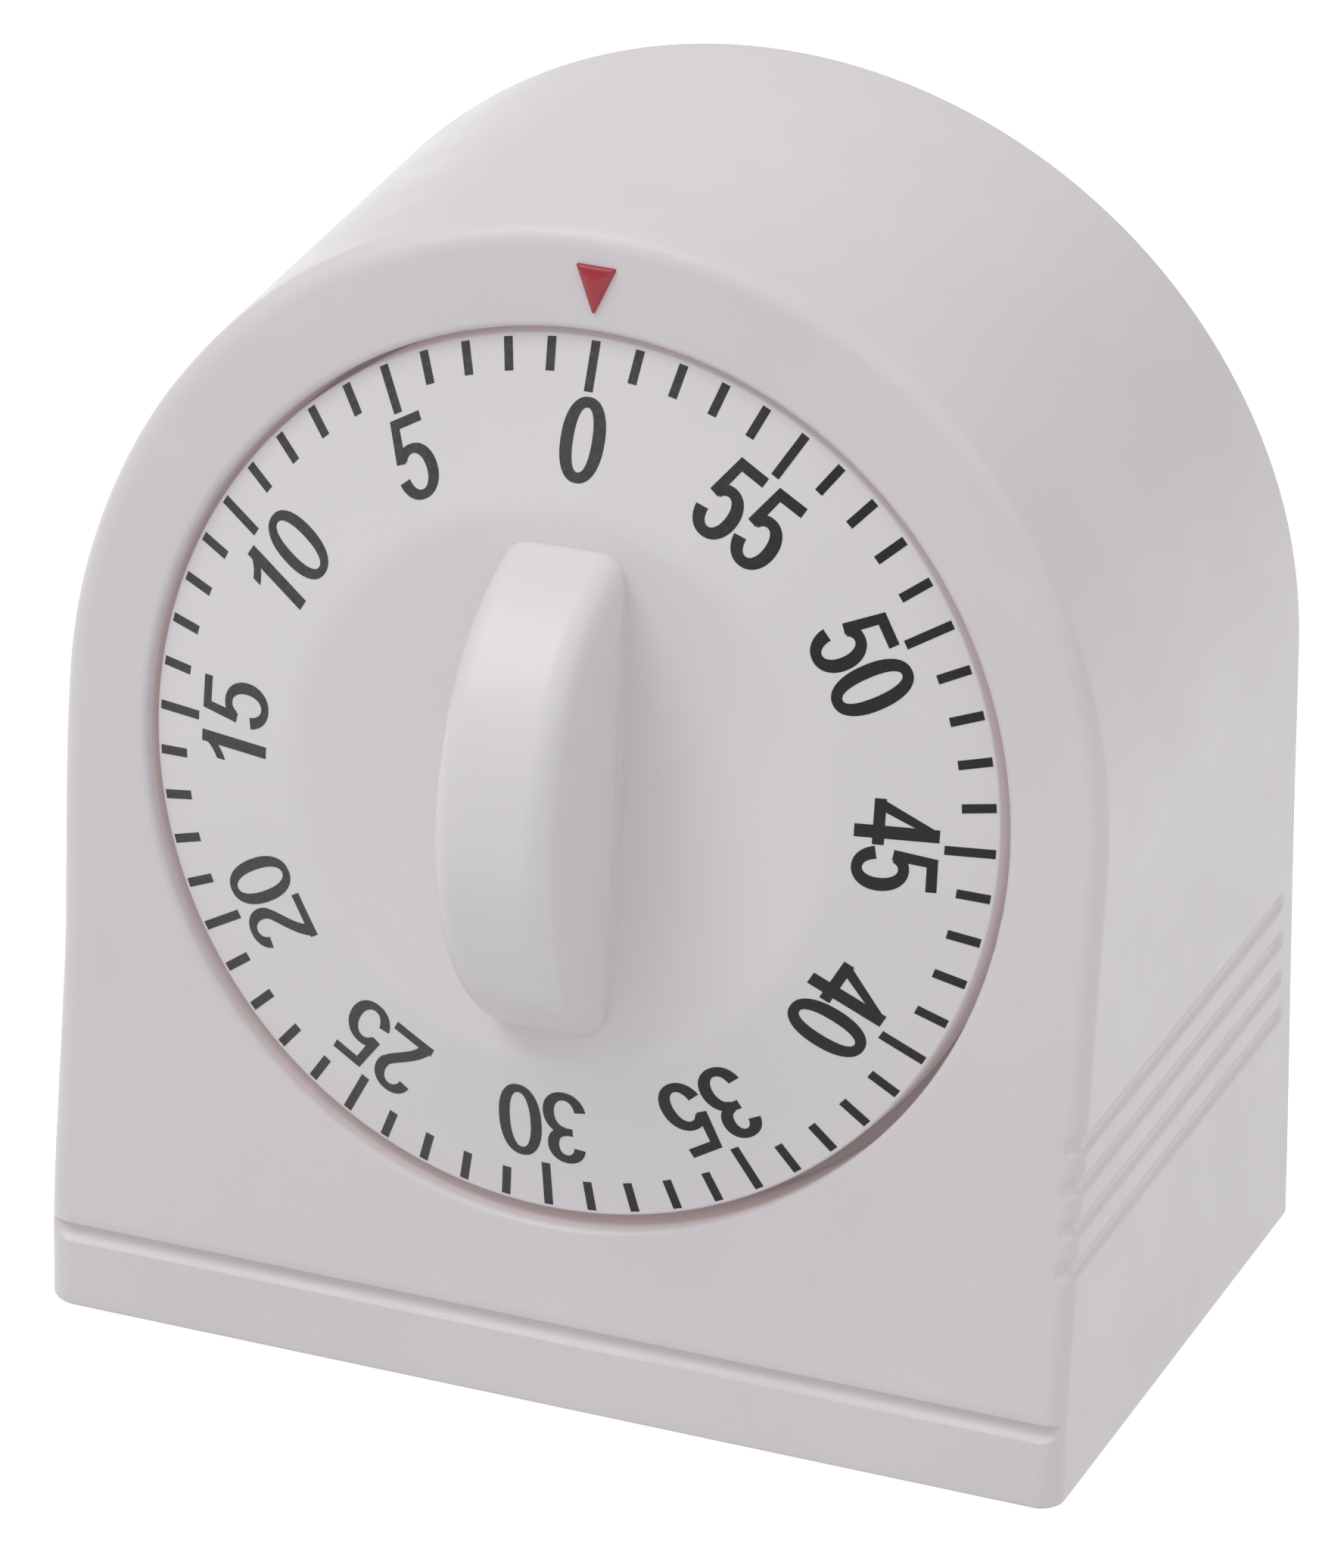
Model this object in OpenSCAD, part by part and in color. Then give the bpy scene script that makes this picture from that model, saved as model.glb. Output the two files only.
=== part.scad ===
// Kitchen timer: an arched free-standing case with a leaning front, a turning
// sixty-minute dial with a bar grip, and a spring-driven movement and bell inside.
// Millimetres, +Z up, +Y towards the back, origin on the table under the dial.

/* [Case] */
// Half width of the case and radius of its arched top
case_r = 39.8; // [38:0.1:42]
// Height of the dial's centre above the table
dial_z = 45.8; // [44:0.1:48]
// How far the front face leans back, in degrees
lean = 9.3; // [6:0.1:14]
// Lean of the short band below the front groove
band_lean = 4.5; // [2:0.1:9]
// Position of the flat back, measured from the dial's centre
back_y = 38.9; // [35:0.1:42]
// Wall thickness of the shell
wall = 2.2; // [1.6:0.1:3]
// Height of the front face above the ends of the dial marks
face_w = 0.8; // [0.4:0.1:1.5]
// Rounding of the front rim
rim_r = 3.0; // [2:0.1:4]
// Rounding of the long bottom edges
foot_r = 1.6; // [1:0.1:3]
// Distance of the front groove below the dial's centre
groove_v = 40.0; // [39:0.1:41]

/* [Side grips] */
// Height of the lowest grip groove
grip_z = 17.75; // [15:0.05:22]
// Spacing of the grip grooves
grip_pitch = 3.0; // [2:0.05:4]
// Number of grip grooves on each side
grip_count = 4; // [2:1:6]

/* [Dial] */
// Outer radius of the dial
dial_r = 31.7; // [30:0.1:33]
// Radius of the opening in the face
aperture_r = 32.5; // [31:0.1:34]
// Rise of the numbered ring per millimetre towards the centre
cone_slope = 0.293; // [0.1:0.001:0.4]
// Radius where the numbered ring meets the dish
dish_r = 20.0; // [18:0.1:23]
// Depth of the dish
dish_depth = 1.6; // [0.8:0.1:2.5]
// Half length of the grip bar
grip_half = 17.5; // [16:0.1:20]
// Radius of the grip bar's crest
crest_r = 18.8; // [17:0.1:24]
// Height of the crest above the dial marks
crest_w = 15.2; // [13:0.1:19]
// Half thickness of the grip bar at its foot
grip_foot = 4.5; // [3.5:0.1:5.5]
// Half thickness of the grip bar at its crest
grip_crest = 4.3; // [3:0.1:5]

/* [Movement] */
// Radius of the main arbor
arbor_r = 2.5; // [2:0.05:3]
// Radial clearance of a running pivot
run = 0.06; // [0.02:0.01:0.1]
// Teeth of the great wheel
great_z = 72; // [60:1:84]
// Teeth of the second wheel
second_z = 60; // [48:1:72]
// Teeth of the third wheel
third_z = 56; // [48:1:64]
// Leaves of each pinion
pinion_z = 8; // [8:1:12]
// Teeth of the escape wheel
escape_z = 16; // [12:1:20]
// Teeth of the ratchet wheel
ratchet_z = 24; // [18:1:30]
// Turns of the mainspring
spring_turns = 6; // [4:1:9]

/* [Bell] */
// Outer radius of the bell
bell_r = 19.0; // [16:0.1:22]
// Depth of the bell
bell_h = 6.5; // [5:0.1:9]
// Sheet thickness of the bell
bell_t = 0.8; // [0.5:0.1:1.2]

/* [Hidden] */
$fn = 96;

cover_t = 2.2;
in_r = case_r - wall;
dish_w = cone_slope * (31.5 - dish_r);
rim_w = cone_slope * (31.5 - dial_r);
well_floor = -7;
well_back = -9;
plate_f = -10.6;
plate_f2 = -11.6;
plate_b = -22.5;
plate_b2 = -23.5;

// arbor positions in the plane of the movement
a1 = [20 * cos(210), 20 * sin(210)];
a2 = a1 + 13.6 * [cos(-60), sin(-60)];
a3 = a2 + 11.2 * [cos(10), sin(10)];
a4 = a3 + 11.8 * [cos(-10), sin(-10)];
a5 = [21.5, 1];
tip5 = 8.75 * [cos(50), sin(50)];
head5 = [15.5, 8.5];
bell_c = [0, -8];
post_c = 13.6 * [cos(135), sin(135)];
pillar_xy = [[-20, 17], [20, 17], [24, -14], [-23, -25]];
mount_xy = [[-24, 6], [24.5, 8.5], [-17, -26.5]];
screw_xz = [[-31, 8.2], [31, 8.2], [-22, 71.8], [22, 71.8]];

// local frame: X right, Y up the leaning face, Z out of the face
module leaning() {
  translate([0, 0, dial_z]) rotate([90 - lean, 0, 0]) children();
}

module peg(p, r, w0, w1) {
  translate([p[0], p[1], w0]) cylinder(r = r, h = w1 - w0);
}

// arch outline in the XZ plane
module arch(r, low, cr) {
  intersection() {
    translate([0, dial_z]) circle(r, $fn = 180);
    translate([-r - 1, dial_z]) square([2 * r + 2, r + 1]);
  }
  translate([-r, low + cr]) square([2 * r, dial_z - low - cr]);
  translate([-r + cr, low]) square([2 * r - 2 * cr, cr]);
  translate([-r + cr, low + cr]) circle(cr, $fn = 32);
  translate([r - cr, low + cr]) circle(cr, $fn = 32);
}

module along_y(y0, y1) {
  translate([0, y1, 0]) rotate([90, 0, 0]) linear_extrude(y1 - y0) children();
}

// solid bounded by one sloping facet of the rounded front rim
module rim_facet(a) {
  w_lo = -16;
  w_hi = face_w + 1;
  r_lo = case_r - rim_r + (rim_r - sin(a) * (w_lo - face_w + rim_r)) / cos(a);
  r_hi = case_r - rim_r + (rim_r - sin(a) * (w_hi - face_w + rim_r)) / cos(a);
  intersection() {
    translate([0, 0, w_lo]) cylinder(r1 = r_lo, r2 = r_hi, h = w_hi - w_lo, $fn = 180);
    translate([-90, 0, w_lo]) cube([180, 90, w_hi - w_lo]);
  }
  rotate([90, 0, 0]) linear_extrude(60)
    polygon([[-r_lo, w_lo], [r_lo, w_lo], [r_hi, w_hi], [-r_hi, w_hi]]);
}

module case_outer() {
  difference() {
    along_y(-14, back_y) arch(case_r, 0, foot_r);
    // leaning front face
    leaning() translate([-60, -60, face_w]) cube([120, 120, 40]);
    // steeper band below the groove
    leaning() translate([0, -groove_v - 1, face_w]) rotate([-(lean - band_lean), 0, 0])
      translate([-60, -20, 0]) cube([120, 20, 20]);
    // groove across the front
    leaning() translate([-60, -groove_v, face_w]) rotate([90, 0, 90])
      linear_extrude(120) polygon([[0, 1], [0, -0.75], [-1.5, 0.02], [-1.5, 1]]);
    // rounded front rim
    leaning() difference() {
      translate([-60, -52, -15]) cube([120, 104, 20]);
      rim_facet(30);
    }
    leaning() difference() {
      translate([-60, -52, -15]) cube([120, 104, 20]);
      rim_facet(60);
    }
  }
}

module case_cavity() {
  difference() {
    along_y(-13, back_y + 1) arch(in_r, wall, 0.8);
    leaning() translate([-60, -60, face_w - 2.4]) cube([120, 120, 40]);
  }
}

module grip_grooves() {
  for (s = [-1, 1])
    for (i = [0 : grip_count - 1])
      translate([s * (case_r + 0.35), 0, grip_z + i * grip_pitch]) {
        translate([0, -14, 0]) rotate([-90, 0, 0]) cylinder(r = 0.9, h = 50.6, $fn = 32);
        translate([0, 36.6, 0]) sphere(r = 0.9, $fn = 32);
      }
}

module case_shell() color([0.86, 0.85, 0.85]) {
  difference() {
    union() {
      difference() {
        case_outer();
        case_cavity();
      }
      // well that the dial turns in
      leaning() translate([0, 0, well_back]) cylinder(r = aperture_r + 1.9, h = 8.2, $fn = 180);
      // bosses for the movement
      leaning() for (p = mount_xy) peg(p, 2.8, plate_f, well_back + 0.5);
      // bosses for the back cover screws
      intersection() {
        union() {
          for (i = [0, 1]) translate([screw_xz[i][0], -6, screw_xz[i][1]])
            rotate([-90, 0, 0]) cylinder(r = 3.2, h = 41.2, $fn = 48);
          for (i = [2, 3]) translate([screw_xz[i][0], 12.5, screw_xz[i][1]])
            rotate([-90, 0, 0]) cylinder(r = 3.2, h = 22.7, $fn = 48);
          for (s = [-1, 1]) translate([s * 36 - 2.5, -6, 6.7]) cube([5, 39, 3]);
        }
        difference() {
          along_y(-13, back_y) arch(case_r - 1, 1, 0.8);
          leaning() translate([-60, -60, face_w - 1]) cube([120, 120, 40]);
        }
      }
    }
    leaning() {
      translate([0, 0, well_floor]) cylinder(r = aperture_r, h = 20, $fn = 180);
      translate([0, 0, well_back - 5]) cylinder(r = 3.2, h = 20);
      for (p = mount_xy) peg(p, 1.22, plate_f - 1, well_back + 1.2);
      // seat of the pointer
      translate([0, 0, -0.3]) linear_extrude(3)
        polygon([[-1.53, 37.15], [1.53, 37.15], [0, 33.55]]);
    }
    for (p = screw_xz) translate([p[0], 22, p[1]]) rotate([-90, 0, 0])
      cylinder(r = 1.52, h = 20, $fn = 32);
    grip_grooves();
  }
}

module back_cover() color([0.83, 0.82, 0.82]) {
  difference() {
    union() {
      along_y(back_y - cover_t, back_y) arch(in_r - 0.12, wall + 0.12, 0.7);
      // locating rib
      difference() {
        along_y(back_y - cover_t - 2, back_y - cover_t) arch(in_r - 0.5, wall + 0.5, 0.7);
        along_y(back_y - 8, back_y) arch(in_r - 1.9, wall + 1.9, 0.7);
        for (p = screw_xz) translate([p[0], 20, p[1]]) rotate([-90, 0, 0])
          cylinder(r = 5, h = 20, $fn = 48);
      }
    }
    for (p = screw_xz) {
      translate([p[0], 20, p[1]]) rotate([-90, 0, 0]) cylinder(r = 1.7, h = 20, $fn = 32);
      translate([p[0], back_y - 1.1, p[1]]) rotate([-90, 0, 0])
        cylinder(r = 3.1, h = 5, $fn = 48);
    }
  }
}

module case_screws() color([0.62, 0.62, 0.64]) {
  for (p = screw_xz) translate([p[0], 0, p[1]]) rotate([-90, 0, 0]) difference() {
    union() {
      translate([0, 0, 25]) cylinder(r = 1.5, h = 11.8, $fn = 32);
      translate([0, 0, back_y - 1.1]) cylinder(r1 = 2.9, r2 = 2.6, h = 1.0, $fn = 48);
    }
    translate([-2, -0.35, back_y - 0.7]) cube([4, 0.7, 2]);
    translate([-0.35, -2, back_y - 0.7]) cube([0.7, 4, 2]);
  }
}

module pointer() color([0.78, 0.06, 0.09]) {
  leaning() {
    translate([0, 0, -0.3]) linear_extrude(face_w + 0.3 + 0.15)
      polygon([[-1.5, 37.12], [1.5, 37.12], [0, 33.62]]);
    translate([0, 0, face_w + 0.15]) linear_extrude(0.25)
      polygon([[-1.25, 36.98], [1.25, 36.98], [0, 34.05]]);
  }
}

// D-shaped bar between two flat ends, d is inset from the outer surface
module grip_bar(d) {
  intersection() {
    rotate([90, 0, 90]) translate([0, 0, -8]) linear_extrude(16) intersection() {
      translate([0, crest_w - crest_r]) circle(crest_r - d, $fn = 180);
      translate([-grip_half + d, 0.6 - 2 * d]) square([2 * (grip_half - d), 40]);
    }
    rotate([90, 0, 0]) translate([0, 0, -30]) linear_extrude(60)
      polygon([[-grip_foot + d, 0.6 - 2 * d], [grip_foot - d, 0.6 - 2 * d],
               [grip_crest - d, crest_w + 1], [-grip_crest + d, crest_w + 1]]);
  }
}

module dial() color([0.90, 0.89, 0.89]) {
  sr = (dish_r * dish_r + dish_depth * dish_depth) / (2 * dish_depth);
  leaning() difference() {
    union() {
      difference() {
        union() {
          difference() {
            union() {
              translate([0, 0, -5]) cylinder(r = dial_r, h = 5 + rim_w, $fn = 180);
              translate([0, 0, rim_w]) cylinder(r1 = dial_r, r2 = dish_r, h = dish_w - rim_w, $fn = 180);
            }
            translate([0, 0, dish_w - dish_depth + sr]) sphere(r = sr, $fn = 180);
            translate([0, 0, -6]) cylinder(r = dial_r - 1.7, h = 4.4, $fn = 180);
            translate([0, 0, -1.6]) cylinder(r1 = dial_r - 1.7, r2 = dish_r + 1, h = 1.8, $fn = 180);
          }
          grip_bar(0);
        }
        grip_bar(1.9);
        translate([0, 0, -1]) cylinder(r = arbor_r + 2.2, h = 1.6);
      }
      translate([0, 0, -6.3]) cylinder(r = 4.6, h = 8.1);
      intersection() {
        translate([0, 0, -1]) cylinder(r = 4.6, h = 12);
        grip_bar(1.2);
      }
    }
    intersection() {
      translate([0, 0, -7]) cylinder(r = arbor_r + 0.03, h = 12);
      translate([-4, -4, -7]) cube([8, 5.83, 13]);
    }
  }
}

module dial_washer() color([0.72, 0.60, 0.32]) {
  leaning() difference() {
    translate([0, 0, -6.9]) cylinder(r = 5.5, h = 0.5);
    translate([0, 0, -8]) cylinder(r = 2.9, h = 3);
  }
}

module main_arbor() color([0.60, 0.60, 0.62]) {
  leaning() difference() {
    union() {
      translate([0, 0, -21.9]) cylinder(r = arbor_r, h = 26.5);
      translate([0, 0, -18.1]) cylinder(r = 3.2, h = 4.5);
      translate([0, 0, -22.3]) cylinder(r = 3.6, h = 0.7);
      translate([0, 0, -24]) cylinder(r = 1.5, h = 2);
    }
    translate([-4, 1.8, -6.3]) cube([8, 4, 20]);
  }
}

function saw(n, tip, root) = [for (i = [0 : n - 1]) each
  [[root * cos(i * 360 / n), root * sin(i * 360 / n)],
   [tip * cos((i + 0.99) * 360 / n), tip * sin((i + 0.99) * 360 / n)]]];

module ratchet_wheel() color([0.78, 0.66, 0.36]) {
  leaning() translate([0, 0, -20.1]) difference() {
    linear_extrude(0.8) polygon(saw(ratchet_z, 6.5, 5.5));
    translate([0, 0, -1]) cylinder(r = arbor_r + 0.02, h = 4);
  }
}

module strike_cam() color([0.80, 0.80, 0.78]) {
  leaning() translate([0, 0, -13.2]) difference() {
    cylinder(r = 8, h = 1.0);
    translate([0, 0, -1]) cylinder(r = arbor_r + 0.02, h = 4);
    translate([0, 0, -1]) linear_extrude(3) polygon([
      [5.7 * cos(14), 5.7 * sin(14)], [11 * cos(8), 11 * sin(8)], [14 * cos(33), 14 * sin(33)],
      [11 * cos(62), 11 * sin(62)], [5.7 * cos(54), 5.7 * sin(54)]]);
  }
}

function coil(r0, r1, turns, n, t) = concat(
  [for (i = [0 : n]) let (a = 360 * turns * i / n, r = r0 + (r1 - r0) * i / n)
    [r * cos(a + 20), r * sin(a + 20)]],
  [for (i = [n : -1 : 0]) let (a = 360 * turns * i / n, r = r0 + (r1 - r0) * i / n + t)
    [r * cos(a + 20), r * sin(a + 20)]]);

module mainspring() color([0.36, 0.38, 0.44]) {
  leaning() translate([0, 0, -17.9]) {
    linear_extrude(4.0) polygon(coil(3.6, 11.3, spring_turns + 115 / 360, 26 * spring_turns, 0.25));
    // outer end reaching its post
    linear_extrude(4.0) polygon([
      [11.4 * cos(134), 11.4 * sin(134)], [11.4 * cos(137), 11.4 * sin(137)],
      [12.4 * cos(137), 12.4 * sin(137)], [12.4 * cos(134), 12.4 * sin(134)]]);
  }
}

module spring_post() color([0.60, 0.60, 0.62]) {
  leaning() {
    peg(post_c, 1.1, -18.1, plate_f2);
    peg(post_c, 0.7, plate_f2 - 0.1, plate_f + 0.2);
  }
}

// half angle of an involute tooth at radius r
function inv(a) = tan(a) * 180 / PI - a;
function half_tooth(r, z, m, thin) =
  let (rp = m * z / 2, rb = rp * cos(20), rr = max(r, rb * 1.0001))
  90 / z - thin / rp * 180 / PI + inv(20) - inv(acos(rb / rr));
function gear_points(z, m, add, ded, thin, ph) =
  let (rp = m * z / 2,
    rows = z > 20 ? [rp - ded, rp, rp + add] : [rp - ded, rp - ded / 2, rp, rp + add],
    top = len(rows) - 1)
  [for (i = [0 : z - 1]) each concat(
    [for (k = [0 : top]) let (a = ph + i * 360 / z - half_tooth(rows[k], z, m, thin))
      [rows[k] * cos(a), rows[k] * sin(a)]],
    [for (k = [top : -1 : 0]) let (a = ph + i * 360 / z + half_tooth(rows[k], z, m, thin))
      [rows[k] * cos(a), rows[k] * sin(a)]])];

module crossings(n, r0, r1, w, ph) {
  difference() {
    circle(r1);
    circle(r0);
    for (i = [0 : n - 1]) rotate(ph + i * 360 / n) translate([0, -w / 2]) square([r1 + 2, w]);
  }
}

module wheel(p, z, m, w0, t, ph, spokes, spoke_ph, bore, hub) {
  leaning() translate([p[0], p[1], w0]) linear_extrude(t) difference() {
    polygon(gear_points(z, m, m * 0.75, m * 1.05, 0.03, ph));
    crossings(spokes, hub, m * z / 2 - m * 1.05 - 1.3, 1.7, spoke_ph);
    circle(bore);
  }
}

// pinion cut on an arbor with thinner pivots at both ends
module pinion_arbor(p, m, ph, pw0, pw1, seat_w0, seat_w1) {
  leaning() {
    translate([p[0], p[1], pw0]) linear_extrude(pw1 - pw0)
      polygon(gear_points(pinion_z, m, m * 0.7, m * 1.0, 0.035, ph));
    peg(p, 0.75, plate_b + 0.3, plate_f2 - 0.3);
    peg(p, 0.45, plate_b2 - 0.2, plate_b + 0.4);
    peg(p, 0.45, plate_f2 - 0.4, plate_f + 0.2);
    peg(p, 1.1, seat_w0, seat_w1);
  }
}

module great_wheel() color([0.80, 0.66, 0.30]) {
  difference() {
    wheel([0, 0], great_z, 0.5, -21.3, 0.8, 0, 4, 37.5, arbor_r + run, 5.2);
    leaning() peg([11.2, 8.6], 0.63, -22, -20);
  }
  leaning() translate([0, 0, -21.3]) linear_extrude(0.8) difference() {
    translate([11.2, 8.6]) circle(2);
    translate([11.2, 8.6]) circle(0.63);
  }
}

module click() color([0.66, 0.66, 0.68]) {
  leaning() {
    translate([0, 0, -20.1]) linear_extrude(0.7)
      polygon([[5.65, 0.12], [6.75, 0.12], [12.1, 8.2], [10.2, 8.6]]);
    peg([11.2, 8.6], 1.3, -20.1, -19.4);
    peg([11.2, 8.6], 0.6, -21.5, -20);
  }
}

module second_arbor() color([0.60, 0.60, 0.62])
  pinion_arbor(a1, 0.5, 52.5, -22.0, -19.9, -19.1, -17.6);
module second_wheel() color([0.80, 0.66, 0.30])
  wheel(a1, second_z, 0.4, -19.0, 0.6, 0, 4, 20, 1.12, 2.8);
module third_arbor() color([0.60, 0.60, 0.62])
  pinion_arbor(a2, 0.4, 142.5, -19.8, -18.0, -16.2, -14.8);
module third_wheel() color([0.80, 0.66, 0.30])
  wheel(a2, third_z, 0.35, -16.1, 0.6, 10, 4, 55, 1.12, 2.6);
module escape_arbor() color([0.60, 0.60, 0.62])
  pinion_arbor(a3, 0.35, 212.5, -16.7, -14.9, -13.9, -12.6);

function escape_teeth(n, tip, root) = [for (i = [0 : n - 1]) each
  [[root * cos((i - 0.20) * 360 / n), root * sin((i - 0.20) * 360 / n)],
   [tip * cos((i + 0.30) * 360 / n), tip * sin((i + 0.30) * 360 / n)],
   [tip * cos((i + 0.38) * 360 / n), tip * sin((i + 0.38) * 360 / n)],
   [root * cos((i + 0.30) * 360 / n), root * sin((i + 0.30) * 360 / n)]]];

module escape_wheel() color([0.80, 0.66, 0.30]) {
  leaning() translate([a3[0], a3[1], -13.7]) linear_extrude(0.7) difference() {
    polygon(escape_teeth(escape_z, 7.5, 5.7));
    crossings(3, 2.4, 4.6, 1.3, 0);
    circle(1.12);
  }
}

module bar(p, q, w) {
  d = q - p;
  translate(p) rotate(atan2(d[1], d[0])) translate([0, -w / 2]) square([norm(d), w]);
}

module verge() color([0.66, 0.66, 0.68]) {
  leaning() translate([0, 0, -13.7]) linear_extrude(0.8) difference() {
    union() {
      translate(a4) circle(1.9);
      for (s = [-1, 1]) {
        bar(a4, a3 + 9.0 * [cos(-10 + s * 50.6), sin(-10 + s * 50.6)], 1.2);
        bar(a3 + 7.85 * [cos(-10 + s * 50.6), sin(-10 + s * 50.6)],
            a3 + 9.5 * [cos(-10 + s * 50.6), sin(-10 + s * 50.6)], 1.0);
      }
      bar(a4, a4 + 7.5 * [cos(-10), sin(-10)], 1.6);
      translate(a4 + 7.5 * [cos(-10), sin(-10)]) circle(2.2);
    }
    translate(a4) circle(0.82);
  }
}

module verge_arbor() color([0.60, 0.60, 0.62]) {
  leaning() {
    peg(a4, 0.8, plate_b + 0.3, plate_f2 - 0.3);
    peg(a4, 0.45, plate_b2 - 0.2, plate_b + 0.4);
    peg(a4, 0.45, plate_f2 - 0.4, plate_f + 0.2);
  }
}

module plate_outline() {
  translate([-27, -25]) square([54, 42]);
  translate([-23, -29]) square([46, 50]);
  for (x = [-23, 23]) for (y = [-25, 17]) translate([x, y]) circle(4);
}

module front_plate() color([0.78, 0.68, 0.40]) {
  leaning() translate([0, 0, plate_f2]) linear_extrude(1.0) difference() {
    plate_outline();
    circle(arbor_r + run);
    for (p = [a1, a2, a3, a4]) translate(p) circle(0.45 + run);
    translate(a5) circle(0.6 + run);
    translate(post_c) circle(0.72);
    for (p = pillar_xy) translate(p) circle(1.02);
    for (p = mount_xy) translate(p) circle(1.35);
  }
}

module back_plate() color([0.78, 0.68, 0.40]) {
  leaning() translate([0, 0, plate_b2]) linear_extrude(1.0) difference() {
    plate_outline();
    circle(1.5 + run);
    for (p = [a1, a2, a3, a4]) translate(p) circle(0.45 + run);
    translate(a5) circle(0.9 + run);
    translate(bell_c) circle(1.42);
    for (p = pillar_xy) translate(p) circle(1.02);
    for (p = mount_xy) translate(p) circle(2.6);
  }
}

module pillars() color([0.62, 0.62, 0.64]) {
  leaning() for (p = pillar_xy) {
    peg(p, 1.9, plate_b, plate_f2);
    peg(p, 1.0, plate_f2 - 0.1, plate_f);
    peg(p, 1.0, plate_b2 - 1.8, plate_b + 0.1);
  }
}

module pillar_nuts() color([0.72, 0.72, 0.74]) {
  leaning() for (p = pillar_xy) translate([p[0], p[1], plate_b2 - 1.4]) difference() {
    cylinder(r = 2.2, h = 1.4, $fn = 6);
    translate([0, 0, -1]) cylinder(r = 1.02, h = 4, $fn = 32);
  }
}

module movement_screws() color([0.66, 0.66, 0.68]) {
  leaning() for (p = mount_xy) difference() {
    union() {
      peg(p, 1.2, plate_f2 - 0.1, well_back + 0.6);
      peg(p, 2.1, plate_f2 - 1.3, plate_f2);
    }
    translate([p[0] - 3, p[1] - 0.3, plate_f2 - 2]) cube([6, 0.6, 1.2]);
  }
}

module hammer_arbor() color([0.60, 0.60, 0.62]) {
  leaning() {
    peg(a5, 0.9, -25.2, plate_f2 - 0.3);
    peg(a5, 0.6, plate_f2 - 0.4, plate_f + 0.2);
  }
}

module hammer_tail() color([0.66, 0.66, 0.68]) {
  leaning() translate([0, 0, -13.2]) linear_extrude(1.0) difference() {
    union() {
      bar(a5, tip5, 1.2);
      translate(tip5) circle(0.6, $fn = 32);
      translate(a5) circle(1.9, $fn = 48);
    }
    translate(a5) circle(0.92, $fn = 48);
  }
}

module hammer_arm() color([0.66, 0.66, 0.68]) {
  leaning() {
    translate([0, 0, -25.1]) linear_extrude(0.9) difference() {
      union() {
        bar(a5, head5, 1.6);
        translate(a5) circle(2.0, $fn = 48);
      }
      translate(a5) circle(0.92, $fn = 48);
    }
    peg(head5, 2.2, -29.5, -24.2);
  }
}

module hammer_spring() color([0.36, 0.38, 0.44]) {
  // thin leaf from a pillar to the arm's outer side
  leaning() translate([0, 0, -25.1]) linear_extrude(0.9) {
    bar([20.3, 14.3], [18.2, 9.2], 0.25);
    difference() {
      translate([20, 17]) circle(2.9, $fn = 48);
      translate([20, 17]) circle(2.45, $fn = 48);
    }
  }
}

module bell() color([0.74, 0.75, 0.77]) {
  leaning() translate([bell_c[0], bell_c[1], -31.0]) difference() {
    rotate_extrude() difference() {
      union() {
        square([bell_r - 4, bell_h]);
        translate([0, 4]) square([bell_r, bell_h - 4]);
        translate([bell_r - 4, 4]) circle(4, $fn = 64);
        translate([0, 0]) square([2, bell_h]);
      }
      translate([-1, bell_t]) square([bell_r - 4 + 1, bell_h]);
      translate([-1, 4]) square([bell_r - bell_t + 1, bell_h]);
      translate([bell_r - 4, 4]) circle(4 - bell_t, $fn = 64);
      translate([-40, -1]) square([40, 20]);
    }
    translate([0, 0, -1]) cylinder(r = 1.6, h = 4, $fn = 48);
  }
}

module bell_post() color([0.72, 0.60, 0.32]) {
  leaning() difference() {
    union() {
      peg(bell_c, 2.4, -31.0 + bell_t, plate_b2);
      peg(bell_c, 1.4, plate_b2 - 0.1, plate_b + 0.3);
    }
    peg(bell_c, 1.22, -32, -26);
  }
}

module bell_screw() color([0.62, 0.62, 0.64]) {
  leaning() difference() {
    union() {
      peg(bell_c, 1.2, -31.1, -27);
      peg(bell_c, 2.6, -32.2, -31.0);
    }
    translate([bell_c[0] - 4, bell_c[1] - 0.35, -33]) cube([8, 0.7, 1.3]);
  }
}

case_shell();
back_cover();
case_screws();
pointer();
dial();
dial_washer();
main_arbor();
ratchet_wheel();
strike_cam();
mainspring();
spring_post();
great_wheel();
click();
second_arbor();
second_wheel();
third_arbor();
third_wheel();
escape_arbor();
escape_wheel();
verge();
verge_arbor();
front_plate();
back_plate();
pillars();
pillar_nuts();
movement_screws();
hammer_arbor();
hammer_arm();
hammer_tail();
hammer_spring();
bell();
bell_post();
bell_screw();
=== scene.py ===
"""Kitchen timer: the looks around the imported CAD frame.

Lengths are in millimetres until a mesh is made. x is right, y is back and z is up. The face leans back, and
u, v and w are right, up and out in its own leaning frame, whose origin is on the dial's axis.
"""
import math

import bmesh
import bpy
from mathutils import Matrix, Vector, geometry


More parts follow.
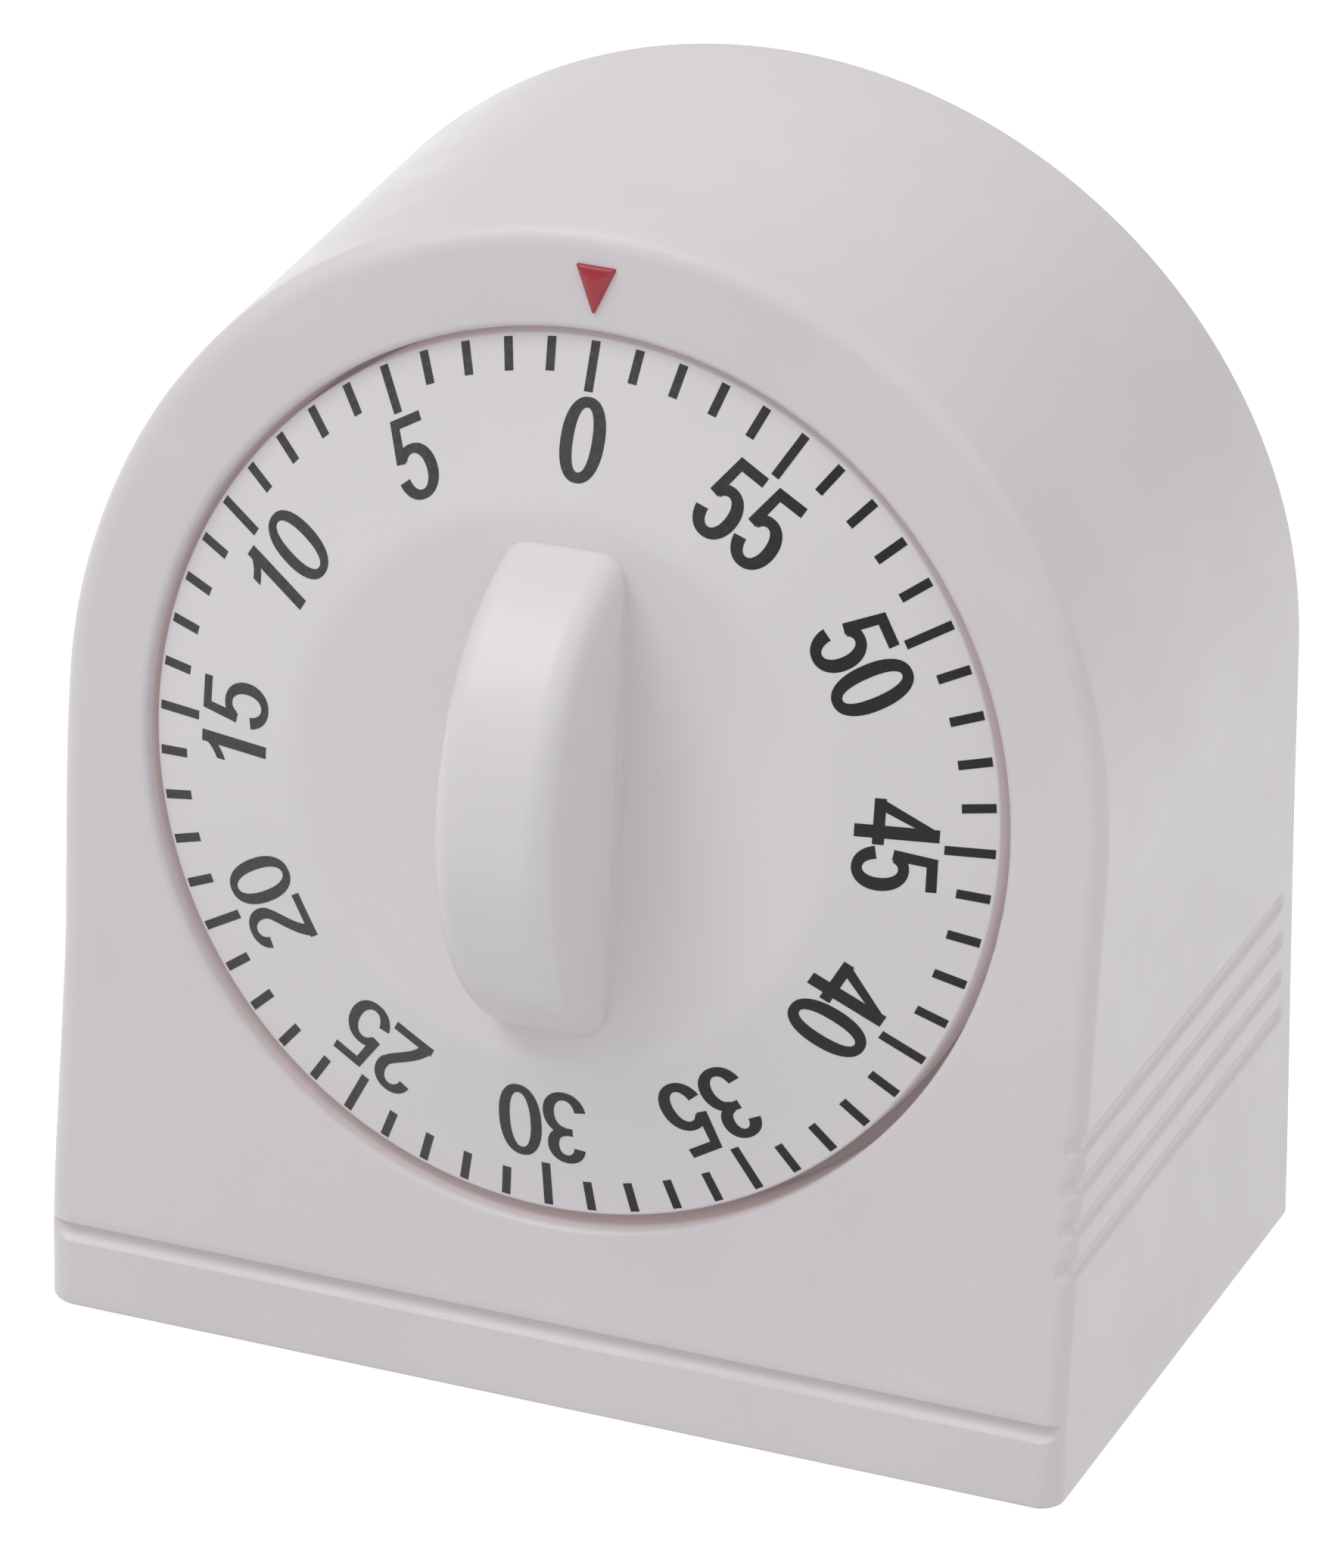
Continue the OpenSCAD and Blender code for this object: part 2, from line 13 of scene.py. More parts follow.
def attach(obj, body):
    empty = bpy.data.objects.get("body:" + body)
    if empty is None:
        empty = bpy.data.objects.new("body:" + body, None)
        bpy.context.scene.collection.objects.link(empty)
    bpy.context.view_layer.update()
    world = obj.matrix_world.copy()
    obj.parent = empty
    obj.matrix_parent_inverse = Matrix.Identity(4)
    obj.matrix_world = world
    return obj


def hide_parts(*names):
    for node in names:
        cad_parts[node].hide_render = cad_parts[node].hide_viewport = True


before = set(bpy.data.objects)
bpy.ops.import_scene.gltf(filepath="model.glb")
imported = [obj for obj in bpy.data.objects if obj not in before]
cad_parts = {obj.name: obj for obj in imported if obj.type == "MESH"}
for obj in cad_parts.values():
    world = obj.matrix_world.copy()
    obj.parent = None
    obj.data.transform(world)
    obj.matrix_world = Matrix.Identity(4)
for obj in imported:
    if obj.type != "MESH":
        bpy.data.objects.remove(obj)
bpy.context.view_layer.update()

MM = 0.001

# ------------------------------------------------------------------ the shared frame
LEAN = math.radians(9.3)
CL, SL = math.cos(LEAN), math.sin(LEAN)
LEAN_TAN = math.tan(LEAN)
DIAL_Z = 45.8
FACE_W = 0.8
CASE_R = 39.8
BACK_Y = 38.9
APERTURE_R = 32.5
APERTURE_AT = (0.14, -0.22)
DIAL_R = 31.8
# the numbered ring is a shallow cone that falls to the marks' outer ends; the dish inside it is a paraboloid
CONE_SLOPE = 0.293
MARK_R = 31.5
DISH_R = 20.0
DISH_W = CONE_SLOPE * (MARK_R - DISH_R)
DISH_DEPTH = 1.6
DISH_BLEND = 0.42


def leaning(u, v, w):
    """From the leaning frame of the face (right, up, out) to the shared frame, in mm."""
    return (u, v * SL - w * CL, DIAL_Z + v * CL + w * SL)


def smooth01(t):
    t = min(max(t, 0.0), 1.0)
    return t * t * (3 - 2 * t)


def lerp(a, b, t):
    return a + (b - a) * t


# ------------------------------------------------------------------ materials
def new_material(name):
    m = bpy.data.materials.new(name)
    m.use_nodes = True
    nt = m.node_tree
    nt.nodes.clear()
    out = nt.nodes.new("ShaderNodeOutputMaterial")
    bsdf = nt.nodes.new("ShaderNodeBsdfPrincipled")
    nt.links.new(bsdf.outputs["BSDF"], out.inputs["Surface"])
    coord = nt.nodes.new("ShaderNodeTexCoord")
    return m, nt, bsdf, coord


def noise(nt, vector, scale, detail=2.0, rough=0.5, stretch=None):
    if stretch:
        mp = nt.nodes.new("ShaderNodeMapping")
        mp.inputs["Scale"].default_value = stretch
        nt.links.new(vector, mp.inputs["Vector"])
        vector = mp.outputs["Vector"]
    n = nt.nodes.new("ShaderNodeTexNoise")
    n.inputs["Scale"].default_value = scale
    n.inputs["Detail"].default_value = detail
    n.inputs["Roughness"].default_value = rough
    nt.links.new(vector, n.inputs["Vector"])
    return n.outputs["Fac"]


def remap(nt, value, low, high, to_low, to_high):
    r = nt.nodes.new("ShaderNodeMapRange")
    r.inputs["From Min"].default_value = low
    r.inputs["From Max"].default_value = high
    r.inputs["To Min"].default_value = to_low
    r.inputs["To Max"].default_value = to_high
    nt.links.new(value, r.inputs["Value"])
    return r.outputs["Result"]


def mix_colour(nt, fac, a, b):
    """Mix of two colours; either may be a plain tuple or an output."""
    m = nt.nodes.new("ShaderNodeMix")
    m.data_type = "RGBA"
    nt.links.new(fac, m.inputs[0])
    for socket, c in ((m.inputs[6], a), (m.inputs[7], b)):
        if isinstance(c, tuple):
            socket.default_value = c + (1.0,)
        else:
            nt.links.new(c, socket)
    return m.outputs[2]


def bump(nt, bsdf, height, strength, distance):
    b = nt.nodes.new("ShaderNodeBump")
    b.inputs["Strength"].default_value = strength
    b.inputs["Distance"].default_value = distance
    nt.links.new(height, b.inputs["Height"])
    nt.links.new(b.outputs["Normal"], bsdf.inputs["Normal"])


def tone(c, k):
    return tuple(min(1.0, x * k) for x in c)


def plastic(name, colour, rough=0.42, grain=5200.0, grain_depth=0.000012, grain_strength=0.35,
            specks=0.0, smudge=None, mottle=0.018, glow=None):
    """Moulded plastic: faint tone changes, fine spark-eroded grain, and a little dirt; `glow` adds a painted
    glow as emission.
    """
    m, nt, bsdf, coord = new_material(name)
    obj = coord.outputs["Object"]
    broad = noise(nt, obj, 55.0, 3.0, 0.6)
    patches = remap(nt, broad, 0.32, 0.68, 0.0, 1.0)
    col = mix_colour(nt, patches, tone(colour, 1 - mottle), tone(colour, 1 + mottle))
    fine = noise(nt, obj, grain, 2.0, 0.6)
    col = mix_colour(nt, remap(nt, fine, 0.55, 0.85, 0.0, 0.10), col, tone(colour, 0.72))
    if smudge:
        dirt = noise(nt, obj, 95.0, 5.0, 0.65)
        col = mix_colour(nt, remap(nt, dirt, 0.66, 0.82, 0.0, 0.35), col, smudge)
    if specks:
        cell = nt.nodes.new("ShaderNodeTexVoronoi")
        cell.inputs["Scale"].default_value = 105.0
        nt.links.new(obj, cell.inputs["Vector"])
        dot = remap(nt, cell.outputs["Distance"], 0.009, 0.016, 1.0, 0.0)
        pick = nt.nodes.new("ShaderNodeSeparateColor")
        nt.links.new(cell.outputs["Color"], pick.inputs["Color"])
        some = remap(nt, pick.outputs["Red"], 0.80, 0.81, 0.0, specks)
        both = nt.nodes.new("ShaderNodeMath")
        both.operation = "MULTIPLY"
        nt.links.new(dot, both.inputs[0])
        nt.links.new(some, both.inputs[1])
        col = mix_colour(nt, both.outputs["Value"], col, (0.10, 0.085, 0.08))
    nt.links.new(col, bsdf.inputs["Base Color"])
    wear = noise(nt, obj, 160.0, 4.0, 0.6)
    nt.links.new(remap(nt, wear, 0.3, 0.7, rough - 0.05, rough + 0.06), bsdf.inputs["Roughness"])
    bump(nt, bsdf, fine, grain_strength, grain_depth)
    bsdf.inputs["IOR"].default_value = 1.46
    # painted light: emission that makes the surface glow though it is no lamp
    if glow:
        bsdf.inputs["Emission Color"].default_value = glow + (1.0,)
        bsdf.inputs["Emission Strength"].default_value = 1.0
    return m


def metal(name, colour, rough=0.3, brush=(1.0, 1.0, 1.0), tarnish=None, grain=1400.0, depth=0.000006):
    """Sheet or turned metal: brushed grain along the long axis of `brush`, with tarnish in patches."""
    m, nt, bsdf, coord = new_material(name)
    obj = coord.outputs["Object"]
    bsdf.inputs["Metallic"].default_value = 1.0
    broad = noise(nt, obj, 130.0, 4.0, 0.65)
    dark = tarnish or tone(colour, 0.72)
    col = mix_colour(nt, remap(nt, broad, 0.38, 0.75, 0.0, 0.8), tone(colour, 1.04), dark)
    fine = noise(nt, obj, grain, 3.0, 0.7, brush)
    col = mix_colour(nt, remap(nt, fine, 0.45, 0.8, 0.0, 0.25), col, tone(colour, 0.6))
    nt.links.new(col, bsdf.inputs["Base Color"])
    nt.links.new(remap(nt, fine, 0.3, 0.7, rough - 0.07, rough + 0.1), bsdf.inputs["Roughness"])
    bump(nt, bsdf, fine, 0.4, depth)
    return m


WHITE_CASE = plastic("case_plastic_look", (0.775, 0.734, 0.757), 0.33, specks=0.8, smudge=(0.62, 0.55, 0.49))
# deep in the gap: painted light, a weak warm glow on a slightly darker, pinker copy of the case plastic,
# standing in for the light that the thin plastic lets through
WELL_PAINTED_GLOW = plastic("well_painted_glow_look", (0.70, 0.645, 0.645), 0.5, glow=(0.066, 0.055, 0.055))
# the dial's side wall down in the gap: painted light, a warm glow on a darker, pinker copy of the dial
# plastic
DIAL_EDGE_PAINTED_GLOW = plastic("dial_edge_painted_glow_look", (0.76, 0.71, 0.72), 0.5, glow=(0.100, 0.088, 0.088))
WHITE_DIAL = plastic("dial_plastic_look", (0.822, 0.791, 0.818), 0.33, grain=4300.0, grain_strength=0.22,
                     specks=0.7, smudge=(0.68, 0.61, 0.55), mottle=0.012)
WHITE_COVER = plastic("cover_plastic_look", (0.750, 0.715, 0.735), 0.5, specks=0.6, smudge=(0.60, 0.54, 0.49))


def make_red():
    m, nt, bsdf, coord = new_material("pointer_red_look")
    obj = coord.outputs["Object"]
    broad = noise(nt, obj, 900.0, 2.0, 0.5)
    nt.links.new(mix_colour(nt, broad, (0.36, 0.014, 0.030), (0.44, 0.022, 0.042)), bsdf.inputs["Base Color"])
    nt.links.new(remap(nt, broad, 0.3, 0.7, 0.24, 0.38), bsdf.inputs["Roughness"])
    bump(nt, bsdf, noise(nt, obj, 2600.0, 2.0), 0.15, 0.00001)
    bsdf.inputs["Coat Weight"].default_value = 0.1
    bsdf.inputs["Coat Roughness"].default_value = 0.2
    return m


def make_ink():
    """Dark print, thinner towards the dial's left (minus x of the object)."""
    m, nt, bsdf, coord = new_material("print_ink_look")
    obj = coord.outputs["Object"]
    blot = noise(nt, obj, 2200.0, 4.0, 0.7)
    thin = nt.nodes.new("ShaderNodeVectorMath")
    thin.operation = "DOT_PRODUCT"
    thin.inputs[1].default_value = (-1.0, 0.0, 0.15)
    nt.links.new(obj, thin.inputs[0])
    wear = remap(nt, thin.outputs["Value"], -0.008, 0.010, 0.0, 1.0)
    worn = mix_colour(nt, wear, (0.0085, 0.0078, 0.0100), (0.044, 0.042, 0.046))
    speckled = mix_colour(nt, wear, (0.022, 0.020, 0.024), (0.085, 0.082, 0.088))
    spots = remap(nt, blot, 0.35, 0.75, 0.0, 1.0)
    nt.links.new(mix_colour(nt, spots, worn, speckled), bsdf.inputs["Base Color"])
    nt.links.new(remap(nt, blot, 0.3, 0.7, 0.5, 0.72), bsdf.inputs["Roughness"])
    bsdf.inputs["Specular IOR Level"].default_value = 0.35
    bump(nt, bsdf, blot, 0.6, 0.000012)
    return m


RED = make_red()
INK = make_ink()
BRASS = metal("brass_look", (0.78, 0.60, 0.30), 0.28, (1.0, 1.0, 9.0), tarnish=(0.52, 0.36, 0.17))
BRASS_TURNED = metal("brass_turned_look", (0.80, 0.62, 0.33), 0.24, (1.0, 7.0, 1.0))
STEEL = metal("steel_look", (0.62, 0.62, 0.64), 0.26, (1.0, 8.0, 1.0))
STEEL_SHEET = metal("steel_sheet_look", (0.58, 0.58, 0.60), 0.32, (1.0, 1.0, 7.0), tarnish=(0.40, 0.38, 0.37))
SPRING_BLUE = metal("spring_steel_look", (0.25, 0.27, 0.34), 0.3, (1.0, 6.0, 1.0), tarnish=(0.17, 0.15, 0.16))
NICKEL = metal("bell_nickel_look", (0.72, 0.71, 0.69), 0.16, tarnish=(0.56, 0.54, 0.51), depth=0.000003)


# ------------------------------------------------------------------ mesh helpers
def finish_mesh(obj, sharp):
    """Merges doubles, points normals outwards, smooths all but edges over `sharp` degrees."""
    bm = bmesh.new()
    bm.from_mesh(obj.data)
    bmesh.ops.remove_doubles(bm, verts=bm.verts, dist=2e-7)
    bmesh.ops.dissolve_degenerate(bm, dist=1e-8, edges=bm.edges)
    bmesh.ops.recalc_face_normals(bm, faces=bm.faces)
    limit = math.radians(sharp)
    for f in bm.faces:
        f.smooth = True
    for e in bm.edges:
        e.smooth = not (len(e.link_faces) == 2 and e.calc_face_angle(0.0) > limit)
    bm.to_mesh(obj.data)
    bm.free()


def mesh_object(name, verts, faces, mats, sharp=32.0, slots=None):
    """A new object from points in mm; `slots` gives each face's material."""
    mesh = bpy.data.meshes.new(name)
    mesh.from_pydata([(x * MM, y * MM, z * MM) for x, y, z in verts], [], faces)
    for m in mats:
        mesh.materials.append(m)
    if slots:
        mesh.polygons.foreach_set("material_index", slots)
    obj = bpy.data.objects.new(name, mesh)
    bpy.context.scene.collection.objects.link(obj)
    finish_mesh(obj, sharp)
    return obj


def lathe(profile, place, steps=48, close=True):
    """Solid turned from a (radius, height) profile; place(x, y, h) puts a point in the shared frame.

    A profile that is not closed begins and ends on the axis."""
    verts, faces = [], []
    n = len(profile)
    for k in range(steps):
        a = 2 * math.pi * k / steps
        for r, h in profile:
            verts.append(place(r * math.cos(a), r * math.sin(a), h))
    for k in range(steps):
        a, b = k * n, (k + 1) % steps * n
        for i in range(n if close else n - 1):
            j = (i + 1) % n
            on_axis = profile[i][0] < 1e-9, profile[j][0] < 1e-9
            if on_axis == (True, False):
                faces.append([a + i, a + j, b + j])
            elif on_axis == (False, True):
                faces.append([a + i, a + j, b + i])
            elif on_axis == (False, False):
                faces.append([a + i, a + j, b + j, b + i])
    return verts, faces


def along_y(x, z):
    """Places a turned solid with its axis front to back."""
    return lambda a, b, h: (x + a, h, z + b)


def along_w(u, v):
    """Places a turned solid with its axis square to the face."""
    return lambda a, b, h: leaning(u + a, v + b, h)


def strip_faces(row_a, row_b):
    """Quads between two open rows of vertex numbers, or of points."""
    return [[row_a[k], row_a[k + 1], row_b[k + 1], row_b[k]] for k in range(len(row_a) - 1)]


def loop_faces(loop_a, loop_b):
    """Quads between two closed rows of vertex numbers."""
    return strip_faces(loop_a + loop_a[:1], loop_b + loop_b[:1])


def join(parts):
    """Several (vertices, faces) pairs as one."""
    verts, faces = [], []
    for v, f in parts:
        k = len(verts)
        verts += v
        faces += [[i + k for i in face] for face in f]
    return verts, faces


def boolean(obj, other, operation):
    """Applies a boolean and removes the other object."""
    mod = obj.modifiers.new("cut", "BOOLEAN")
    mod.operation = operation
    mod.solver = "EXACT"
    mod.object = other
    bpy.context.view_layer.update()
    done = bpy.data.meshes.new_from_object(obj.evaluated_get(bpy.context.evaluated_depsgraph_get()))
    obj.modifiers.clear()
    obj.data = done
    bpy.data.objects.remove(other)


# ------------------------------------------------------------------ the case
WALL, FRONT_WALL = 2.2, 2.4
OPENING_EDGE = 0.55
# the well is a cup: its floor, the hole for the hub, and its outside
WELL_W, WELL_BORE_R = -7.0, 3.2
CUP_R, CUP_W = APERTURE_R + 1.9, -9.0
INNER_R = CASE_R - WALL
INNER_CORNER = 0.8
FOOT_EDGE = 0.3
RIM_TOP, RIM_HIP, RIM_SIDE, RIM_FOOT = 2.0, 1.9, 1.9, 2.5
RIGHT_RIM = 0.72
FOOT_DRAFT_RIGHT, FOOT_DRAFT_LEFT = 0.08, 1.45
HIP_DRAFT_RIGHT, HIP_DRAFT_LEFT = 0.25, 0.80

# the bottom's front edge ends where the two corner fillets start, and these differ
FOOT_RIGHT = CASE_R - FOOT_DRAFT_RIGHT - RIM_FOOT * RIGHT_RIM
FOOT_LEFT = CASE_R - FOOT_DRAFT_LEFT - RIM_FOOT
FLAT_HALF = (FOOT_RIGHT + FOOT_LEFT) / 2
FLAT_SHIFT = (FOOT_RIGHT - FOOT_LEFT) / 2

# the groove across the front: a round lower flank and a nearly square upper one, as (v, depth) going up
GROOVE_V, GROOVE_DEPTH, COVE_R = -40.05, 0.70, 1.652
GROOVE = []
for degrees in (54.8, 49, 43, 37, 31, 25, 19, 12, 5):
    cove = math.radians(degrees)
    deep = max(0.0, GROOVE_DEPTH - COVE_R * (1 - math.cos(cove)))
    GROOVE.append((GROOVE_V - COVE_R * math.sin(cove), deep))
for above, deep in ((0.0, GROOVE_DEPTH), (0.02, 0.55), (0.035, 0.25), (0.06, 0.03), (0.12, 0.0)):
    GROOVE.append((GROOVE_V + above, deep))
groove_points = [leaning(0, v, FACE_W - deep) for v, deep in GROOVE]
BAND_Z = groove_points[0][2]
BAND_TAN = math.tan(math.radians(4.5))

# the soft grip grooves on the two sides; each is deepest a little below its middle
FLUTES = [17.75 + 3.0 * i for i in range(4)]
FLUTE_SAG = 0.3
FLUTE_END = 36.15
FLUTE_DEPTH = 0.36
FLUTE_BELOW, FLUTE_ABOVE, FLUTE_BACK = 0.65, 1.3, 0.9


def face_y(z):
    """The front surface at height z, without its groove; the band under the groove leans the other way."""
    if z >= BAND_Z:
        return (SL * (z - DIAL_Z) - FACE_W) / CL
    return (SL * (BAND_Z - DIAL_Z) - FACE_W) / CL + (z - BAND_Z) * BAND_TAN


def inner_y(z):
    """The inside of the front wall at height z."""
    return (SL * (z - DIAL_Z) - (FACE_W - FRONT_WALL)) / CL


def flute_depth(z, y):
    """How deep the side grooves are: the lower flank is the steeper one, and the back ends are round."""
    past = max(0.0, y - FLUTE_END) / FLUTE_BACK
    best = 0.0
    for flute_z in FLUTES:
        d = z - flute_z + FLUTE_SAG
        away = min(1.0, math.hypot(d / (FLUTE_ABOVE if d > 0 else FLUTE_BELOW), past))
        best = max(best, FLUTE_DEPTH * (0.5 + 0.5 * math.cos(math.pi * away)))
    return best


def back_inset(z):
    """The wall's inset at its back edge."""
    if z < DIAL_Z:
        return lerp(0.05, 0.28, smooth01(z / 36))
    return lerp(0.28, 0.15, smooth01((z - DIAL_Z) / 12))


def side_draft(right, z):
    """How far a side comes in at the front; the two sides of the moulding differ."""
    if right:
        return lerp(FOOT_DRAFT_RIGHT, HIP_DRAFT_RIGHT, smooth01(z / DIAL_Z))
    return lerp(FOOT_DRAFT_LEFT, HIP_DRAFT_LEFT, smooth01((z - 24.0) / 20.0))


# the arch's draft at some of its angles, from the right hip over the top to the left hip
ARCH_DRAFT = [(0, HIP_DRAFT_RIGHT), (50, HIP_DRAFT_RIGHT), (85, 0.70), (105, 0.70), (130, 0.50), (145, 0.55),
              (165, 0.72), (180, HIP_DRAFT_LEFT)]


def arch_draft(turn):
    """How far the arch comes in at the front, at an angle in degrees."""
    for (turn_a, draft_a), (turn_b, draft_b) in zip(ARCH_DRAFT, ARCH_DRAFT[1:]):
        if turn <= turn_b:
            return lerp(draft_a, draft_b, smooth01((turn - turn_a) / (turn_b - turn_a)))
    return HIP_DRAFT_LEFT


# heights of the rows that cross the face, and of the samples up the sides, which are closer at the grooves
LOFT_Z = 12.0
row_z = [FOOT_EDGE, 1.1, 2.1, 3.1, 3.9] + [z for x, y, z in groove_points] + [7.2, 8.2, 9.6, LOFT_Z]
groove_y = {round(z, 6): y for x, y, z in groove_points}
FLUTE_ROWS = (-1.2, -0.95, -0.82, -0.7, -0.58, -0.46, -0.3, -0.12, 0.06, 0.24, 0.42, 0.6, 0.78, 1.0, 1.25)
side_z = {round(z, 6) for z in row_z} | {round(z + dz, 6) for z in FLUTES for dz in FLUTE_ROWS}
side_z = sorted(side_z | {13.5, 15.2, 28.6, 30.5, 33.0, 36.0, 39.0, 42.0, 44.4})

FLAT_STEPS, CORNER_STEPS, ARCH_STEPS = 22, 9, 45


def side_rim(z):
    """The front fillet's radius up a side."""
    if z < 33:
        return lerp(RIM_FOOT, RIM_SIDE, smooth01((z - FOOT_EDGE) / 11))
    return lerp(RIM_SIDE, RIM_HIP, smooth01((z - 33) / 12.8))


def case_outline():
    """Samples round the case: position, outward normal, fillet radius and the point on the inner wall.

    They run from the middle of the bottom up the right side, over the top and down the left side."""
    half = []
    inner_flat = INNER_R - INNER_CORNER
    for i in range(FLAT_STEPS):
        t = i / FLAT_STEPS
        half.append((FLAT_HALF * t, 0.0, 0.0, -1.0, RIM_FOOT, inner_flat * t, WALL))
    for i in range(CORNER_STEPS):
        a = math.radians(-90 + 90 * i / CORNER_STEPS)
        c, s = math.cos(a), math.sin(a)
        half.append((CASE_R - FOOT_EDGE + FOOT_EDGE * c, FOOT_EDGE + FOOT_EDGE * s, c, s, RIM_FOOT,
                     inner_flat + INNER_CORNER * c, WALL + INNER_CORNER + INNER_CORNER * s))
    for z in side_z:
        inner_z = lerp(WALL + INNER_CORNER, DIAL_Z, (z - FOOT_EDGE) / (DIAL_Z - FOOT_EDGE))
        half.append((CASE_R, z, 1.0, 0.0, side_rim(z), INNER_R, inner_z))
    for i in range(ARCH_STEPS + 1):
        a = math.radians(90 * i / ARCH_STEPS)
        c, s = (math.cos(a), math.sin(a)) if i < ARCH_STEPS else (0.0, 1.0)
        half.append((CASE_R * c, DIAL_Z + CASE_R * s, c, s, lerp(RIM_HIP, RIM_TOP, smooth01(i / 20)),
                     INNER_R * c, DIAL_Z + INNER_R * s))
    mirrored = [(-x, z, -nx, nz, rim, -ix, iz) for x, z, nx, nz, rim, ix, iz in half[-2:0:-1]]
    return half + mirrored


RIM_STEPS = 18
# where the wall has points: shares of its length up to the side grooves' back ends, then depths
WALL_SHARES = [0.02, 0.05, 0.1, 0.17, 0.25, 0.34, 0.43, 0.52, 0.61, 0.70, 0.79, 0.87, 0.935]
FLUTE_END_Y = [35.9, 36.15, 36.35, 36.52, 36.66, 36.78, 36.9, 37.05, 37.6, 38.3, 38.74]
# the rounded back edge: depth and inset
BACK_EDGE = [(38.82, 0.012), (38.88, 0.05), (BACK_Y, 0.13)]


def foot_rim(x, z, nx, rim, draft):
    """The front fillet under the case; at the corners it turns in plan, because the foot's edge is small."""
    centre_y = face_y(FOOT_EDGE) + rim
    reach = rim - FOOT_EDGE + FOOT_EDGE * abs(nx)
    points = []
    for k in range(RIM_STEPS + 1):
        a = math.pi / 2 * k / RIM_STEPS
        y = centre_y - reach * math.cos(a)
        if nx == 0.0:
            points.append((x + FLAT_SHIFT, y, 0.0))
        else:
            points.append((math.copysign(CASE_R - draft - rim + reach * math.sin(a), x), y, z))
    return points, centre_y


def wall_rim(x, z, nx, up, rim, draft):
    """The front fillet of a side or of the arch, tangent to the leaning face and to the wall."""
    x0, z0 = x - nx * draft, z - up * draft
    slope = up * LEAN_TAN
    face = face_y(z0)
    centre_y = face - slope * rim + rim * math.sqrt(1 + slope * slope)
    start = math.atan2(-1.0, -slope)
    lowest = groove_y.get(round(z, 6), face)
    points = []
    for k in range(RIM_STEPS + 1):
        part = k / RIM_STEPS
        a = lerp(start, -math.pi, part)
        r = rim
        if x > 0 and not up:
            r -= flute_depth(z, centre_y) * lerp(0.5, 1.0, part) * smooth01(part / 0.2)
        t, y = rim + r * math.cos(a), centre_y + r * math.sin(a)
        if not up:
            y = max(y, lowest)
        points.append((x0 - nx * t, y, z0 - up * t))
    return points, centre_y


def section(sample):
    """The skin from the edge of the face, round its fillet and back along the wall, then into the shell."""
    x, z, nx, nz, rim, ix, iz = sample
    right, arch, bottom = x > 0, z > DIAL_Z, nz < 0
    flat = bottom and nx == 0.0
    up = nz if arch else 0.0
    if arch:
        turn = math.degrees(math.atan2(nz, nx))
        draft = arch_draft(turn)
        rim *= lerp(RIGHT_RIM, 1.0, smooth01((turn - 45) / 40))
    else:
        draft = side_draft(right, z)
        if right:
            rim *= RIGHT_RIM
    if flat:
        rim = RIM_FOOT * lerp(1.0, RIGHT_RIM, 0.5 + 0.5 * x / FLAT_HALF)
    if bottom:
        points, rim_y = foot_rim(x, z, nx, rim, draft)
    else:
        points, rim_y = wall_rim(x, z, nx, up, rim, draft)
    length = FLUTE_END_Y[0] - rim_y
    stops = [(rim_y + length * share, 0.0) for share in WALL_SHARES]
    stops += [(y, 0.0) for y in FLUTE_END_Y] + BACK_EDGE
    for y, edge in stops:
        t = lerp(back_inset(z), draft, (BACK_Y - y) / (BACK_Y - rim_y))
        if not arch and not bottom:
            t += flute_depth(z, y) * (1.0 if right else smooth01((y - rim_y) / 2.5))
        if flat:
            px, pz = x + FLAT_SHIFT, 0.0
        elif arch:
            px, pz = x - nx * t, z - nz * t
        else:
            px, pz = x - math.copysign(t, x), z
        points.append((px - nx * edge, y, pz - nz * edge))
    for y in (BACK_Y, 36.6, 24.0, 12.0, inner_y(iz)):
        points.append((ix, y, iz))
    return points


COLUMNS = 44
CORNER_ROWS = 8


def lower_face_rows(verts, outline, depth):
    """Rows from side to side, from the bottom edge up past the groove; new points join verts."""
    count = len(outline)
    side_index = {}
    for i, (x, z, nx, nz, rim, ix, iz) in enumerate(outline):
        if abs(nz) < 1e-9:
            side_index[nx > 0, round(z, 6)] = i
    first_right, first_left = COLUMNS // 2, count - COLUMNS // 2
    pairs = [(first_left - k, first_right + k) for k in range(1, CORNER_ROWS + 1)]
    pairs += [(side_index[False, round(z, 6)], side_index[True, round(z, 6)]) for z in row_z]
    rows = [[(first_left + k) % count * depth for k in range(COLUMNS + 1)]]
    for left_i, right_i in pairs:
        left, right = verts[left_i * depth], verts[right_i * depth]
        row = [left_i * depth]
        for k in range(1, COLUMNS):
            verts.append(tuple(lerp(a, b, k / COLUMNS) for a, b in zip(left, right)))
            row.append(len(verts) - 1)
        rows.append(row + [right_i * depth])
    return rows, pairs[-1]


def face_uv(point, w):
    """The (u, v) of a point whose w is known."""
    return point[0], (point[2] - DIAL_Z - w * SL) / CL


